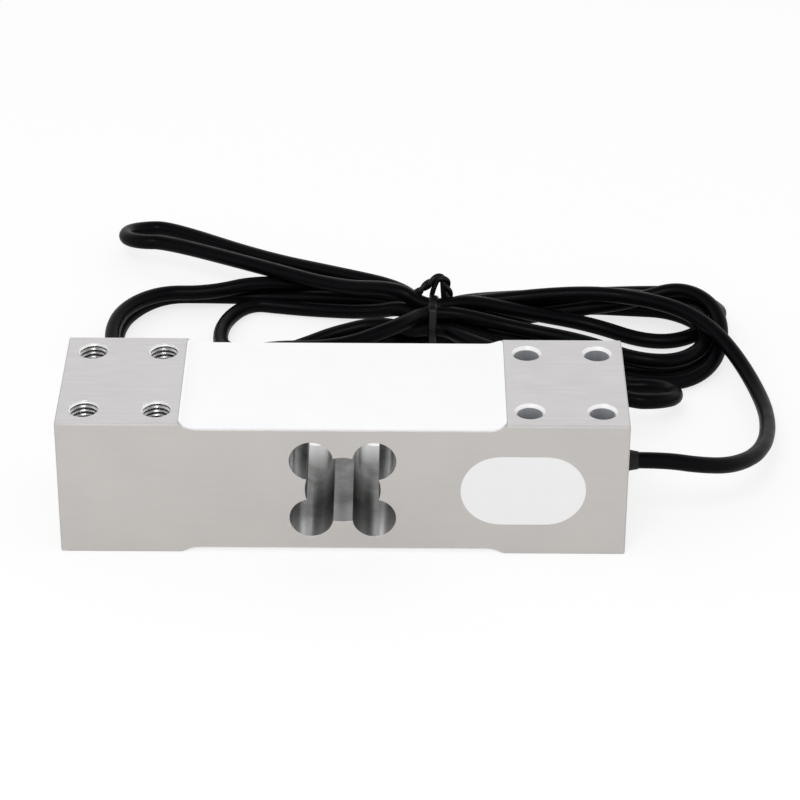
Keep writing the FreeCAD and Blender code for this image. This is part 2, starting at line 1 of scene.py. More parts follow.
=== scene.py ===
import json
import logging
import math
from collections.abc import Sequence
from dataclasses import dataclass
from enum import Enum
from typing import ClassVar

import bmesh
import bpy
import numpy as np
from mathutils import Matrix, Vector


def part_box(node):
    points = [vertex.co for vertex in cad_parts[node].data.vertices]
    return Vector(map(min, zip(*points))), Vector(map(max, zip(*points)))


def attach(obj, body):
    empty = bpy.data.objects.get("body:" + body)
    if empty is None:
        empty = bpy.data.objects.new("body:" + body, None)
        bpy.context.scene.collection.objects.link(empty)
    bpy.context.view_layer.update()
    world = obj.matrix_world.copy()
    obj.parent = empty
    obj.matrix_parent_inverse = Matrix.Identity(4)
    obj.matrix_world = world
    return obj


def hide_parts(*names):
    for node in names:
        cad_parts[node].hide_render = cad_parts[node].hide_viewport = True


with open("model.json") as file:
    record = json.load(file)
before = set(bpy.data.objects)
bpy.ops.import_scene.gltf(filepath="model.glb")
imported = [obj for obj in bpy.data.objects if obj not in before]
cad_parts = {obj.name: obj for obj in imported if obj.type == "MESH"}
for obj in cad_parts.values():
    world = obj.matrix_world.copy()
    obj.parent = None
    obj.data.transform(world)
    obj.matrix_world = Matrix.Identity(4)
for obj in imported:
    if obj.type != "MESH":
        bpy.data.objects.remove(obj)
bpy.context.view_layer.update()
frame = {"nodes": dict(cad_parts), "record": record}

# Single point load cell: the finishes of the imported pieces, the threads in its mounting holes, and
# the cable with its tie and stripped ends. Metres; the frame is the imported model's own.
MM = 0.001
ROOT = "root"
Colour = tuple[float, float, float]
Point = tuple[float, float, float]
Place = tuple[float, float]
Socket = bpy.types.NodeSocket
Piece = bpy.types.Object
EVEN: Point = (1.0, 1.0, 1.0)
# The near-white of the painted highlight on sharp edges.
GLINT_WHITE: Colour = (0.95, 0.95, 0.95)
SHARP_ANGLE = math.radians(35.0)
log = logging.getLogger("load_cell")


def solid(colour: Colour) -> tuple[float, float, float, float]:
    """The colour with full alpha.

    Args:
        colour: Red, green and blue.

    Returns:
        The colour and 1.
    """
    return (*colour, 1.0)


def metres(places: Sequence[Point]) -> list[Point]:
    """Points in millimetres, turned into metres.

    Args:
        places: The points in millimetres.

    Returns:
        The same points in metres.
    """
    return [tuple(part * MM for part in place) for place in places]


# ---- shared effects: node groups ----
class Kind(Enum):
    """The kinds of socket that the groups use."""

    VALUE = "NodeSocketFloat"
    COLOUR = "NodeSocketColor"
    VECTOR = "NodeSocketVector"


def values(*names: str) -> dict[str, Kind]:
    """Name a group's plain number sockets.

    Args:
        names: The sockets' names.

    Returns:
        Each name with its kind.
    """
    return dict.fromkeys(names, Kind.VALUE)


class NodeSheet:
    """A node tree that is written from left to right."""

    def __init__(self, tree: bpy.types.NodeTree) -> None:
        """Take the tree over, emptied.

        Args:
            tree: The material's, world's or group's node tree.
        """
        self.tree = tree
        self.tree.nodes.clear()

    def add(self, kind: str, inputs: dict | None = None, **settings: object) -> bpy.types.Node:
        """Add one node.

        Args:
            kind: The node's type name, without its ShaderNode prefix where it has one.
            inputs: Socket name or number to a constant or to another node's output socket.
            settings: Plain attributes of the node.

        Returns:
            The new node.
        """
        name = kind if kind.startswith("Node") else "ShaderNode" + kind
        node = self.tree.nodes.new(name)
        node.location = (220 * len(self.tree.nodes), 0)
        for key, value in settings.items():
            setattr(node, key, value)
        for key, value in (inputs or {}).items():
            if isinstance(value, Socket):
                self.tree.links.new(value, node.inputs[key])
            else:
                node.inputs[key].default_value = value
        return node

    def link(self, source: Socket, target: Socket) -> None:
        """Link two sockets.

        Args:
            source: The output to link.
            target: The input that it feeds.
        """
        self.tree.links.new(source, target)

    def maths(self, operation: str, first: object, second: object = 0.0) -> Socket:
        """Add a Math node.

        Args:
            operation: The Math node's operation.
            first: A constant or a socket.
            second: A constant or a socket.

        Returns:
            Its output socket.
        """
        return self.add("Math", {0: first, 1: second}, operation=operation).outputs[0]

    def dot(self, first: object, second: object) -> Socket:
        """Add a dot product.

        Args:
            first: A vector's socket.
            second: A vector's socket.

        Returns:
            The product's socket.
        """
        node = self.add("VectorMath", {0: first, 1: second}, operation="DOT_PRODUCT")
        return node.outputs["Value"]

    def noise(self, stretch: object, scale: object, detail: float) -> Socket:
        """Add a noise on the object's own coordinates.

        Args:
            stretch: Scale along each axis before the noise, a vector or a socket.
            scale: The noise's scale, in features per metre.
            detail: Its number of octaves.

        Returns:
            The noise's value socket, about 0.3 to 0.7.
        """
        place = self.add("TexCoord").outputs["Object"]
        mapped = self.add("Mapping", {"Vector": place, "Scale": stretch}).outputs[0]
        return self.add("TexNoise", {"Vector": mapped, "Scale": scale, "Detail": detail}).outputs[0]

    def spread(self, value: object, low: object, high: object, start: float = 0.3,
               end: float = 0.7) -> Socket:
        """Map a value from start..end to low..high, clamped.

        Args:
            value: The socket to map.
            low: The result at start, a constant or a socket.
            high: The result at end, a constant or a socket.
            start: The value that gives low.
            end: The value that gives high.

        Returns:
            The mapped socket.
        """
        return self.add("MapRange", {"Value": value, "From Min": start, "From Max": end,
                                     "To Min": low, "To Max": high}).outputs[0]

    def blend(self, share: object, first: object, second: object) -> Socket:
        """Mix two colours.

        Args:
            share: How much of the second, a constant or a socket.
            first: A colour or a socket.
            second: A colour or a socket.

        Returns:
            The mixed colour's socket.
        """
        first, second = (value if isinstance(value, Socket) else solid(value)
                         for value in (first, second))
        return self.add("Mix", {0: share, 6: first, 7: second}, data_type="RGBA").outputs[2]

    def between(self, share: object, first: Socket, second: Socket) -> Socket:
        """Mix two shaders.

        Args:
            share: How much of the second, a constant or a socket.
            first: A shader's socket.
            second: A shader's socket.

        Returns:
            The mixed shader's socket.
        """
        return self.add("MixShader", {0: share, 1: first, 2: second}).outputs[0]


def new_group(name: str, takes: dict[str, Kind],
              gives: dict[str, Kind]) -> tuple[NodeSheet, dict, dict]:
    """Start a shader node group.

    Args:
        name: The group's name.
        takes: Its inputs' names and kinds.
        gives: Its outputs' names and kinds.

    Returns:
        The sheet to write on, the group's input sockets by name, and its output node's by name.
    """
    tree = bpy.data.node_groups.new(name, "ShaderNodeTree")
    for flow, sockets in (("INPUT", takes), ("OUTPUT", gives)):
        for label, kind in sockets.items():
            tree.interface.new_socket(label, in_out=flow, socket_type=kind.value)
    sheet = NodeSheet(tree)
    entry, leave = sheet.add("NodeGroupInput"), sheet.add("NodeGroupOutput")
    return (sheet, {label: entry.outputs[label] for label in takes},
            {label: leave.inputs[label] for label in gives})


class Effects:
    """The effects that several finishes share, each built once."""

    def __init__(self) -> None:
        """Build the node groups."""
        self.tool_marks = self._tool_marks()
        self.mottle = self._mottle()
        self.edge_glint = self._edge_glint()
        self.fine_grain = self._fine_grain()
        self.bore_painted_shade = self._bore_painted_shade()

    @staticmethod
    def _tool_marks() -> bpy.types.NodeTree:
        """Fine parallel marks that a cutter or a die leaves, as a value and as a height."""
        sheet, given, wanted = new_group(
            "tool_marks", {"Stretch": Kind.VECTOR, **values("Scale", "Low", "High")},
            values("Value", "Height"))
        marks = sheet.noise(given["Stretch"], given["Scale"], 5.0)
        sheet.link(sheet.spread(marks, given["Low"], given["High"]), wanted["Value"])
        sheet.link(marks, wanted["Height"])
        return sheet.tree

    @staticmethod
    def _mottle() -> bpy.types.NodeTree:
        """Slow cloudy change from one colour to another."""
        sheet, given, wanted = new_group(
            "mottle", {"Base": Kind.COLOUR, "Tint": Kind.COLOUR, **values("Scale", "Amount")},
            {"Color": Kind.COLOUR})
        clouds = sheet.noise(EVEN, given["Scale"], 3.0)
        share = sheet.maths("MULTIPLY", sheet.spread(clouds, 0.0, 1.0), given["Amount"])
        sheet.link(sheet.blend(share, given["Base"], given["Tint"]), wanted["Color"])
        return sheet.tree

    @staticmethod
    def _edge_glint() -> bpy.types.NodeTree:
        """A mask that is 1 at a sharp outer edge, where a painted highlight goes, and the normal
        that rounds it.
        """
        sheet, given, wanted = new_group("edge_glint", values("Reach"),
                                         {**values("Mask"), "Normal": Kind.VECTOR})
        rounded = sheet.add("Bevel", {"Radius": given["Reach"]}, samples=6).outputs[0]
        flat = sheet.add("NewGeometry").outputs["Normal"]
        facing = sheet.dot(rounded, flat)
        sheet.link(sheet.spread(facing, 1.0, 0.0, start=0.80, end=0.99), wanted["Mask"])
        sheet.link(rounded, wanted["Normal"])
        return sheet.tree

    @staticmethod
    def _bore_painted_shade() -> bpy.types.NodeTree:
        """A mask for painted shade: 0 at a through bore's two mouths and 1 deep inside it."""
        sheet, given, wanted = new_group(
            "bore_painted_shade", {"Axis": Kind.VECTOR, **values("Middle", "Inside", "Mouth")},
            values("Mask"))
        place = sheet.add("TexCoord").outputs["Object"]
        along = sheet.dot(place, given["Axis"])
        off = sheet.maths("ABSOLUTE", sheet.maths("SUBTRACT", along, given["Middle"]))
        mask = sheet.add("MapRange", {"Value": off, "From Min": given["Inside"],
                                      "From Max": given["Mouth"], "To Min": 1.0, "To Max": 0.0},
                         interpolation_type="SMOOTHSTEP").outputs[0]
        sheet.link(mask, wanted["Mask"])
        return sheet.tree

    @staticmethod
    def _fine_grain() -> bpy.types.NodeTree:
        """The small even grain of moulded skins, as a height."""
        sheet, given, wanted = new_group("fine_grain", values("Scale"), values("Height"))
        sheet.link(sheet.noise(EVEN, given["Scale"], 2.0), wanted["Height"])
        return sheet.tree


# ---- finishes ----
class FinishSheet(NodeSheet):
    """A material's node tree with its Principled shader."""

    def __init__(self, name: str, effects: Effects, constants: dict[str, float]) -> None:
        """Make the material.

        Args:
            name: The material's name.
            effects: The shared node groups.
            constants: Principled socket name to a plain value.
        """
        self.effects = effects
        self.material = bpy.data.materials.new(name)
        self.material.use_nodes = True
        super().__init__(self.material.node_tree)
        self.shader = self.add("BsdfPrincipled", constants)
        self.add("OutputMaterial", {"Surface": self.shader.outputs[0]})

    def group(self, tree: bpy.types.NodeTree, **inputs: object) -> bpy.types.NodeOutputs:
        """Place a shared effect.

        Args:
            tree: The node group.
            inputs: Its inputs, constants or sockets.

        Returns:
            The effect's output sockets.
        """
        return self.add("Group", inputs, node_tree=tree).outputs

    def clouded(self, colour: Colour, tint: Colour, scale: float, share: float) -> Socket:
        """A colour that clouds over into another.

        Args:
            colour: The main colour.
            tint: The other colour.
            scale: Clouds per metre.
            share: How far it goes towards the tint.

        Returns:
            The colour's socket.
        """
        return self.group(self.effects.mottle, Base=solid(colour), Tint=solid(tint), Scale=scale,
                          Amount=share)["Color"]

    def feed(self, socket: str, source: Socket) -> None:
        """Link a source to one of the shader's sockets.

        Args:
            socket: The shader's socket name.
            source: The output to link.
        """
        self.link(source, self.shader.inputs[socket])

    def bump(self, height: Socket, depth: float, normal: Socket | None = None) -> None:
        """Feed the normal from a height.

        Args:
            height: The height's socket.
            depth: How far a height of 1 stands out, in metres.
            normal: A normal to start from, or None for the surface's own.
        """
        inputs = {"Height": height, "Distance": depth}
        if normal is not None:
            inputs["Normal"] = normal
        self.feed("Normal", self.add("Bump", inputs).outputs[0])


@dataclass(frozen=True)
class BoreShade:
    """Painted shade that darkens a through bore's wall inside: its axis, where its middle is, and
    how far in.
    """

    axis: Point
    middle: float
    inside: float
    mouth: float
    # The painted shade's colour and tint.
    colour: Colour
    tint: Colour
    patches: float = 260.0


@dataclass(frozen=True)
class MachinedAluminium:
    """Bare machined aluminium: tool marks along one direction, cloudy tone, a painted highlight on
    sharp edges.
    """

    name: str
    colour: Colour
    tint: Colour
    rough_low: float
    rough_high: float
    stretch: Point
    scale: float = 900.0
    depth: float = 0.02 * MM
    cloud_scale: float = 55.0
    cloud_share: float = 0.6
    edge_reach: float = 0.25 * MM
    glint_share: float = 0.0
    metallic: float = 1.0
    bore_shade: BoreShade | None = None

    def make(self, effects: Effects) -> bpy.types.Material:
        """Build the material.

        Args:
            effects: The shared node groups.

        Returns:
            The material.
        """
        sheet = FinishSheet(self.name, effects, {"Metallic": self.metallic})
        tone = sheet.clouded(self.colour, self.tint, self.cloud_scale, self.cloud_share)
        # Painted shade: towards a bore's middle the tone blends into a darker clouded colour.
        if (bore_shade := self.bore_shade) is not None:
            deep = sheet.group(effects.bore_painted_shade, Axis=bore_shade.axis, Middle=bore_shade.middle,
                               Inside=bore_shade.inside, Mouth=bore_shade.mouth)["Mask"]
            inside = sheet.clouded(bore_shade.colour, bore_shade.tint, bore_shade.patches, 1.0)
            tone = sheet.blend(deep, tone, inside)
        marks = sheet.group(effects.tool_marks, Stretch=self.stretch, Scale=self.scale,
                            Low=self.rough_low, High=self.rough_high)
        edge = sheet.group(effects.edge_glint, Reach=self.edge_reach)
        # Painted highlight: sharp edges blend towards near-white.
        share = sheet.maths("MULTIPLY", edge["Mask"], self.glint_share)
        sheet.feed("Base Color", sheet.blend(share, tone, GLINT_WHITE))
        sheet.feed("Roughness", marks["Value"])
        sheet.bump(marks["Height"], self.depth, normal=edge["Normal"])
        return sheet.material


@dataclass(frozen=True)
class Skin:
    """A finish of one clouded colour, with fine marks in its gloss and its relief."""

    name: str
    colour: Colour
    tint: Colour
    rough: float
    specular: float = 0.5
    metallic: float = 0.0
    cloud_scale: float = 70.0
    cloud_share: float = 0.7
    stretch: Point = EVEN
    marks_scale: float = 220.0
    rough_spread: float = 0.08
    depth: float = 0.01 * MM
    grain: float | None = None

    def make(self, effects: Effects) -> bpy.types.Material:
        """Build the material.

        Args:
            effects: The shared node groups.

        Returns:
            The material.
        """
        sheet = FinishSheet(self.name, effects, {"Metallic": self.metallic,
                                                 "Specular IOR Level": self.specular})
        sheet.feed("Base Color", sheet.clouded(self.colour, self.tint, self.cloud_scale,
                                               self.cloud_share))
        marks = sheet.group(effects.tool_marks, Stretch=self.stretch, Scale=self.marks_scale,
                            Low=self.rough - self.rough_spread, High=self.rough + self.rough_spread)
        sheet.feed("Roughness", marks["Value"])
        height = marks["Height"]
        if self.grain is not None:
            height = sheet.group(effects.fine_grain, Scale=self.grain)["Height"]
        sheet.bump(height, self.depth)
        return sheet.material


@dataclass(frozen=True)
class Coating(Skin):
    """A brushed or potted silicone skin, slightly uneven."""

    specular: float = 0.3
    cloud_scale: float = 90.0
    stretch: Point = (0.4, 1.0, 1.0)
    marks_scale: float = 160.0
    rough_spread: float = 0.06


@dataclass(frozen=True)
class Moulded(Skin):
    """Extruded or moulded plastic and rubber: even colour, fine grain, soft gloss."""

    cloud_share: float = 0.8
    grain: float | None = 2500.0


@dataclass(frozen=True)
class FoilMetal(Skin):
    """Thin or drawn metal: foil, ribbon, wire and tinning."""

    metallic: float = 1.0
    cloud_scale: float = 900.0
    marks_scale: float = 1800.0
    depth: float = 0.004 * MM


def insulation(name: str, colour: Colour) -> Moulded:
    """One colour of core insulation, a glossy extruded plastic.

    Args:
        name: The finish's name.
        colour: Its colour.

    Returns:
        The finish.
    """
    return Moulded(name, colour, tuple(0.7 * part for part in colour), rough=0.32)


FINISHES = (
    MachinedAluminium("beam_aluminium", (0.645, 0.617, 0.592), (0.600, 0.575, 0.556), 0.34, 0.48,
                      (0.06, 1.0, 1.0), glint_share=0.4),
    # Chamfers: a darker, rougher copy of the aluminium; the darker colour is painted shade that dims
    # the lamp's highlight.
    MachinedAluminium("beam_edges", (0.60, 0.59, 0.58), (0.54, 0.53, 0.52), 0.60, 0.72,
                      (0.06, 1.0, 1.0), metallic=0.7),
    # Flat faces, up and down: a lighter copy of the aluminium with their own tool marks; the lighter
    # colour is painted light.
    MachinedAluminium("beam_pads", (0.745, 0.725, 0.732), (0.710, 0.690, 0.698), 0.36, 0.50,
                      (0.10, 1.0, 1.0), glint_share=0.4),
    # Pilot bores: the walls darken towards the bore's middle, painted shade.
    MachinedAluminium("beam_bores", (0.62, 0.63, 0.66), (0.46, 0.47, 0.50), 0.40, 0.55,
                      (1.0, 1.0, 0.05), metallic=0.55,
                      bore_shade=BoreShade((0.0, 0.0, 1.0), 20.0 * MM, 8.0 * MM, 19.5 * MM,
                                  (0.31, 0.325, 0.36), (0.22, 0.235, 0.27))),
    # Countersink rims: near-white and mostly matt, a painted highlight.
    MachinedAluminium("beam_rims", (0.97, 0.97, 0.96), (0.93, 0.93, 0.92), 0.30, 0.42,
                      EVEN, metallic=0.25),
    # Cavity: lighter than the outer faces near its mouths, a painted highlight, and dark deep
    # inside, painted shade.
    MachinedAluminium("beam_cavity", (0.80, 0.80, 0.80), (0.56, 0.56, 0.55), 0.24, 0.36,
                      (1.0, 0.05, 1.0), scale=500.0, metallic=0.92,
                      bore_shade=BoreShade((0.0, 1.0, 0.0), 0.0, 9.5 * MM, 24.5 * MM,
                                  (0.27, 0.27, 0.265), (0.145, 0.145, 0.145))),
    MachinedAluminium("cut_threads", (0.66, 0.655, 0.65), (0.52, 0.52, 0.52), 0.16, 0.30,
                      (1.0, 1.0, 0.2)),
    Coating("gauge_seal_white", (0.955, 0.955, 0.965), (0.930, 0.930, 0.940), 0.42,
            depth=0.05 * MM),
    Coating("pocket_seal_white", (0.88, 0.88, 0.88), (0.85, 0.85, 0.85), 0.50,
            depth=0.04 * MM),
    Moulded("cable_sheath", (0.0020, 0.0022, 0.0030), (0.0014, 0.0015, 0.0020), 0.32, 0.055),
    Moulded("bush_rubber", (0.0075, 0.0075, 0.0080), (0.0055, 0.0055, 0.0058), 0.55, 0.22),
    Moulded("tie_black", (0.0040, 0.0040, 0.0050), (0.0028, 0.0028, 0.0034), 0.30, 0.20),
    Moulded("board_green", (0.010, 0.085, 0.035), (0.008, 0.065, 0.028), 0.35, 0.5),
    Moulded("resistor_black", (0.012, 0.012, 0.012), (0.020, 0.020, 0.020), 0.5, 0.4),
    Moulded("polyimide_amber", (0.52, 0.22, 0.035), (0.42, 0.17, 0.030), 0.30, 0.5),
    Moulded("terminal_strip_tan", (0.50, 0.40, 0.22), (0.42, 0.33, 0.18), 0.45, 0.4),
    Moulded("enamelled_wire", (0.30, 0.075, 0.02), (0.24, 0.06, 0.018), 0.25, 0.5),
    insulation("core_red", (0.45, 0.018, 0.014)),
    insulation("core_black", (0.012, 0.012, 0.013)),
    insulation("core_green", (0.015, 0.19, 0.045)),
    insulation("core_white", (0.78, 0.78, 0.76)),
    FoilMetal("tinned_copper", (0.66, 0.65, 0.62), (0.52, 0.50, 0.46), 0.32),
    FoilMetal("gauge_foil", (0.56, 0.50, 0.43), (0.48, 0.42, 0.36), 0.30),
    FoilMetal("copper_ribbon", (0.76, 0.40, 0.24), (0.64, 0.32, 0.19), 0.30),
)


class Dresser:
    """Keeps the built materials and puts them on pieces."""

    def __init__(self) -> None:
        """Build every finish once."""
        effects = Effects()
        self.materials = {finish.name: finish.make(effects) for finish in FINISHES}

    def dress(self, piece: Piece, finish: str) -> None:
        """Give a whole piece one finish.

        Args:
            piece: The object.
            finish: The finish's name.
        """
        if not piece.material_slots:
            piece.data.materials.append(self.materials[finish])
        for place in piece.material_slots:
            place.material = self.materials[finish]

    def add_finish(self, piece: Piece, finish: str) -> int:
        """Give a piece one finish more.

        Args:
            piece: The object.
            finish: The finish's name.

        Returns:
            The new material's number on that piece.
        """
        piece.data.materials.append(self.materials[finish])
        return len(piece.data.materials) - 1

    def join(self, piece: Piece, finish: str, *nodes: str) -> None:
        """Hand a finished piece over to the frame.

        Args:
            piece: A new object, in its place.
            finish: The record's material slot, also the finish's name unless it is dressed already.
            nodes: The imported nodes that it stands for.
        """
        if not piece.data.materials:
            self.dress(piece, finish)
        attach(piece, ROOT)
        if nodes:
            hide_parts(*nodes)
        log.info("%s: made, finish %s", piece.name, finish)


def new_object(name: str, data: bpy.types.ID) -> Piece:
    """Link a new object to the scene.

    Args:
        name: The object's name.
        data: Its mesh, curve, lamp or camera.

    Returns:
        The object.
    """
    made = bpy.data.objects.new(name, data)
    bpy.context.scene.collection.objects.link(made)
    return made


def mesh_piece(name: str, points: list[Point], faces: list[tuple[int, ...]],
               merge: float = 0.0) -> Piece:
    """Make a smooth-shaded mesh object with outward normals.

    Args:
        name: The object's name.
        points: The vertices, in metres.
        faces: Vertex numbers of each face.
        merge: Vertices closer than this are joined; 0 leaves them.

    Returns:
        The object.
    """
    mesh = bpy.data.meshes.new(name)
    mesh.from_pydata(points, [], faces)
    work = bmesh.new()
    work.from_mesh(mesh)
    if merge:
        bmesh.ops.remove_doubles(work, verts=work.verts, dist=merge)
        bmesh.ops.dissolve_degenerate(work, edges=work.edges, dist=merge)
    bmesh.ops.recalc_face_normals(work, faces=work.faces)
    for face in work.faces:
        face.smooth = True
    work.to_mesh(mesh)
    work.free()
    mesh.set_sharp_from_angle(angle=SHARP_ANGLE)
    return new_object(name, mesh)


def spline_piece(name: str, routes: list[list[Point]], radius: float, sides: int,
                 steps: int) -> Piece:
    """Make a round bar along smooth lines.

    Args:
        name: The object's name.
        routes: The control points of each open line, in metres.
        radius: The bar's radius.
        sides: The curve's bevel resolution.
        steps: The curve's segments between two points.

    Returns:
        The curve object.
    """
    curve = bpy.data.curves.new(name, "CURVE")
    curve.dimensions = "3D"
    curve.bevel_depth = radius
    curve.bevel_resolution = sides
    curve.resolution_u = steps
    curve.use_fill_caps = True
    for route in routes:
        spline = curve.splines.new("NURBS")
        spline.points.add(len(route) - 1)
        for place, point in zip(spline.points, route):
            place.co = (*point, 1.0)
        spline.order_u = 3
        spline.use_endpoint_u = True
    return new_object(name, curve)


# ---- cable ----
class Turn(Enum):
    """Which run of a loop the cable takes first, going out from the tie."""

    FAR_FIRST = 1
    NEAR_FIRST = -1


@dataclass(frozen=True)
class Run:
    """One long side of a loop: how far it bows out, how soon, and how high it lies at the tip."""

    bow: float
    power: float
    height: float


@dataclass(frozen=True)
class Loop:
    """One loop of the tied hank, from the tie out to its tip and back; millimetres."""

    side: int
    reach: float
    tip_y: float
    far: Run
    near: Run
    turn: Turn = Turn.NEAR_FIRST
    shares: ClassVar[tuple[float, ...]] = (0.12, 0.3, 0.55)
    tip_angles: ClassVar[tuple[float, ...]] = (67.5, 22.5, -22.5, -67.5)
    tip_share: ClassVar[float] = 0.2
    tip_limit: ClassVar[float] = 1.05
    tip_start: ClassVar[float] = 0.414
    tip_corner: ClassVar[float] = 1.082
    rise_share: ClassVar[float] = 0.5
    rise_power: ClassVar[float] = 0.8

    def points(self, tie_x: float, start: Place, end: Place) -> list[Point]:
        """The loop's points after those at the tie.

        Args:
            tie_x: Where the tie is along the hank.
            start: The Y and Z at which the cable leaves the tie.
            end: The Y and Z at which it comes back.

        Returns:
            Four points out, four round the tip and four back.
        """
        half = (self.far.bow + self.near.bow) / 2
        middle_y = self.tip_y + (self.far.bow - self.near.bow) / 2
        round_x = min(self.tip_share * self.reach, self.tip_limit * half)
        centre_x = self.reach - round_x
        last = (centre_x - self.tip_start * round_x) / self.reach
        sign = self.turn.value
        out, back = (self.far, self.near) if self.turn is Turn.FAR_FIRST else (self.near, self.far)

        def on_run(share: float, run: Run, bow_sign: int, at_tie: Place) -> Point:
            """A point of a long side.

            Args:
                share: How far out it is, as a share of the reach.
                run: The long side.
                bow_sign: The Y direction in which it bows out.
                at_tie: The side's Y and Z at the tie.

            Returns:
                The point.
            """
            along = min(1.0, share / last)
            y = at_tie[0] + (self.tip_y - at_tie[0]) * along
            y += bow_sign * run.bow * (share / last) ** run.power
            rise = min(1.0, share / self.rise_share) ** self.rise_power
            z = at_tie[1] + (run.height - at_tie[1]) * rise
            return (tie_x + self.side * self.reach * share, y, z)

        shares = (*self.shares, last)
        places = [on_run(share, out, sign, start) for share in shares]
        widest = self.tip_angles[0]
        for angle in self.tip_angles:
            turned = math.radians(angle) * sign
            height = back.height + (out.height - back.height) * (angle + widest) / (2 * widest)
            out_x = centre_x + self.tip_corner * round_x * math.cos(turned)
            places.append((tie_x + self.side * out_x,
                           middle_y + self.tip_corner * half * math.sin(turned), height))
        places += [on_run(share, back, -sign, end) for share in reversed(shares)]
        return places


@dataclass(frozen=True)
class CableRoute:
    """The cable's whole line: the lead, the tied loops and the tail, in millimetres."""

    diameter: float = 4.5
    tie_x: float = 25.0
    tie_reach: float = 3.5
    lead: tuple[Point, ...] = (
        (78.7, -7.0, 20.0), (86.2, -7.0, 20.0), (95.2, -5.8, 17.8), (104.0, -1.5, 14.9),
        (111.4, 7.4, 12.0), (115.9, 19.0, 9.3), (118.1, 31.4, 7.0), (118.6, 44.4, 5.2),
        (116.7, 57.6, 5.2), (112.6, 69.4, 7.6), (107.0, 78.8, 10.6), (100.1, 86.4, 12.2),
        (91.8, 92.2, 12.4), (82.6, 96.4, 12.0), (72.6, 98.3, 12.0),
    )
    landing: tuple[Point, ...] = ((61.0, 99.3, 11.0), (48.0, 99.4, 9.2))
    loops: tuple[Loop, ...] = (
        Loop(-1, 95.0, 144.0, Run(5.0, 2.5, 6.0), Run(12.5, 0.5, 10.5), Turn.FAR_FIRST),
        Loop(1, 85.0, 102.0, Run(13.5, 0.6, 2.6), Run(17.0, 4.5, 3.0)),
        Loop(-1, 94.5, 83.0, Run(24.5, 0.35, 6.0), Run(23.5, 0.45, 2.6), Turn.FAR_FIRST),
        Loop(1, 81.0, 83.5, Run(20.0, 0.8, 7.0), Run(15.0, 3.5, 3.5)),
        Loop(-1, 94.0, 85.0, Run(27.0, 0.65, 2.6), Run(23.0, 0.5, 2.6)),
        Loop(1, 81.0, 83.0, Run(22.0, 0.6, 4.6), Run(13.0, 1.5, 2.6)),
        Loop(-1, 63.0, 79.5, Run(29.5, 0.8, 3.0), Run(17.0, 0.5, 2.6)),
        Loop(1, 83.0, 80.0, Run(22.0, 0.9, 7.0), Run(17.5, 1.0, 2.6)),
        Loop(-1, 52.0, 69.0, Run(9.0, 1.5, 2.6), Run(12.0, 1.5, 2.6)),
        Loop(1, 68.5, 53.5, Run(6.5, 1.0, 2.6), Run(12.0, 1.0, 9.0)),
    )
    crossings: tuple[Place, ...] = (
        (99.0, 7.1), (92.1, 11.0), (105.5, 3.2), (87.5, 11.0), (100.9, 3.2), (94.4, 7.1),
        (96.3, 3.2), (89.8, 7.1), (91.7, 3.2), (85.2, 7.1), (87.1, 3.2),
    )
    tail: tuple[Point, ...] = (
        (13.0, 81.5, 2.6), (1.0, 75.5, 2.4), (-13.0, 68.0, 2.3), (-25.0, 62.0, 2.25),
        (-36.0, 56.5, 2.25),
    )

    def through_tie(self, side: int, place: Place) -> list[Point]:
        """The two points that carry the line straight through the tie.

        Args:
            side: The X direction it leaves in.
            place: Its Y and Z there.

        Returns:
            The points, in order.
        """
        return [(self.tie_x + step * side * self.tie_reach, *place) for step in (-1, 1)]

    def drawn(self) -> tuple[np.ndarray, np.ndarray]:
        """Lay the line out.

        Returns:
            The points before they settle, and which of them may move.
        """
        points = [*self.lead, *self.landing]
        free = [False] * len(self.lead) + [True] * len(self.landing)
        for index, loop in enumerate(self.loops):
            start, end = self.crossings[index], self.crossings[index + 1]
            places = loop.points(self.tie_x, start, end)
            points += [*self.through_tie(loop.side, start), *places]
            free += [False] * 2 + [True] * len(places)
        points += [*self.through_tie(-1, self.crossings[-1]), *self.tail]
        free += [False] * 2 + [True] * (len(self.tail) - 1) + [False]
        return np.array(points), np.array(free)

    def settled(self) -> list[Point]:
        """Press the turns apart until they lie on each other.

        Returns:
            The line's control points in metres.
        """
        return metres(Settling(self.diameter).run(*self.drawn()).tolist())


